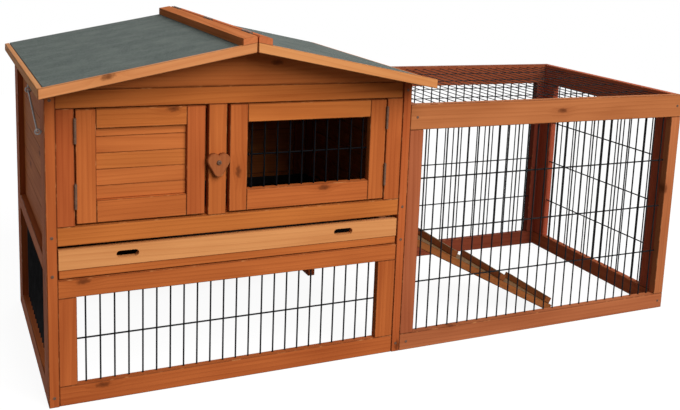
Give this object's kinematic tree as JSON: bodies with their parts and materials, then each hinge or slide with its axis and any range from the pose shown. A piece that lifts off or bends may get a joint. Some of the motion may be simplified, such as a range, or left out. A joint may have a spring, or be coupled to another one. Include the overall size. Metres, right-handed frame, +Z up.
{
  "type": "rabbit hutch with run",
  "caption": "Two-storey wooden rabbit hutch with a hinged felt roof, front doors, pull-out tray, and a wire-mesh run with a ramp.",
  "frame": {"origin": "middle of the overall box, on the ground", "axes": "+Z up, +X along the length from the hutch towards the run, -Y towards the front with the doors"},
  "size_m": [1.593, 0.726, 0.7528],
  "materials": {
    "frame_wood": "orange-brown stained softwood, satin",
    "panel_wood": "orange-brown stained matched boards, satin",
    "light_wood": "pale tan stained softwood, satin",
    "dark_wood": "dark red-brown stained softwood, satin",
    "deck_wood": "thinly stained board, matt",
    "ramp_wood": "weathered stained board, matt",
    "heart_wood": "greyer brown stained softwood, matt",
    "roof_felt": "grey-green mineral felt, rough",
    "mesh_wire": "dark coated welded wire",
    "hardware_steel": "dull bronzed zinc plate",
    "tray_sheet": "black enamelled sheet, satin"
  },
  "bodies": {
    "hutch": {"front_posts": "frame_wood", "back_posts": "frame_wood", "front_header": "frame_wood", "front_gable_board": "panel_wood", "door_sill_rail": "frame_wood", "door_surround": "frame_wood", "lower_front_frame": "frame_wood", "lower_front_mesh": "mesh_wire", "left_wall_frame": "frame_wood", "left_wall_boards": "panel_wood", "left_lower_mesh": "mesh_wire", "right_wall_frame": "frame_wood", "right_wall_boards": "panel_wood", "back_wall_frame": "frame_wood", "back_wall_boards": "panel_wood", "back_lower_mesh": "mesh_wire", "back_gable_board": "panel_wood", "cabin_floor": "deck_wood", "floor_bearers": "deck_wood", "ridge_beam": "frame_wood", "run_front_frame": "frame_wood", "run_front_mesh": "mesh_wire", "run_back_frame": "dark_wood", "run_back_mesh": "mesh_wire", "run_end_frame": "dark_wood", "run_end_mesh": "mesh_wire", "run_top_batten": "dark_wood", "run_top_mesh": "mesh_wire", "ramp_board": "ramp_wood", "ramp_cleats": "ramp_wood", "ramp_hooks": "hardware_steel", "roof_right_deck": "deck_wood", "roof_right_felt": "roof_felt", "roof_right_trim": "light_wood", "ridge_right_board": "frame_wood", "door_hinge_jamb_leaves": "hardware_steel", "roof_hinge_fixed_leaves": "hardware_steel", "turn_button_screw": "hardware_steel", "hook_wall_eye": "hardware_steel", "frame_screws": "hardware_steel"},
    "left_door": {"left_door_frame": "frame_wood", "left_door_free_stile": "frame_wood", "left_door_boards": "panel_wood", "left_door_hinge_leaves": "hardware_steel"},
    "right_door": {"right_door_frame": "frame_wood", "right_door_free_stile": "frame_wood", "right_door_mesh": "mesh_wire", "right_door_hinge_leaves": "hardware_steel"},
    "turn_button": {"heart_turn_button": "heart_wood"},
    "tray": {"tray_front": "light_wood", "tray_rail": "frame_wood", "tray_pan": "tray_sheet"},
    "roof_left": {"roof_left_deck": "deck_wood", "roof_left_felt": "roof_felt", "roof_left_trim": "light_wood", "ridge_left_board": "frame_wood", "roof_hinge_moving_leaves": "hardware_steel", "hook_roof_eye": "hardware_steel"},
    "hook": {"cabin_hook": "hardware_steel"}
  },
  "joints": [
    {"name": "left_door_hinge", "type": "hinge", "parent": "hutch", "child": "left_door", "pos_m": [-0.7233, -0.2821, 0.487], "axis": [0, 0, -1], "range_deg": [0, 115]},
    {"name": "right_door_hinge", "type": "hinge", "parent": "hutch", "child": "right_door", "pos_m": [-0.0627, -0.2821, 0.487], "axis": [0, 0, 1], "range_deg": [0, 115]},
    {"name": "turn_button_pivot", "type": "hinge", "parent": "hutch", "child": "turn_button", "pos_m": [-0.4445, -0.2855, 0.483], "axis": [0, -1, 0], "continuous": true},
    {"name": "tray_slide", "type": "slide", "parent": "hutch", "child": "tray", "axis": [0, -1, 0], "range_m": [0, 0.45]},
    {"name": "roof_hinge", "type": "hinge", "parent": "hutch", "child": "roof_left", "pos_m": [-0.391, 0.021, 0.74998], "axis": [0, 1, 0], "range_deg": [0, 100]},
    {"name": "cabin_hook_pivot", "type": "hinge", "parent": "roof_left", "child": "hook", "pos_m": [-0.79, -0.121, 0.6138], "axis": [0, 1, 0], "range_deg": [0, 90]}
  ]
}
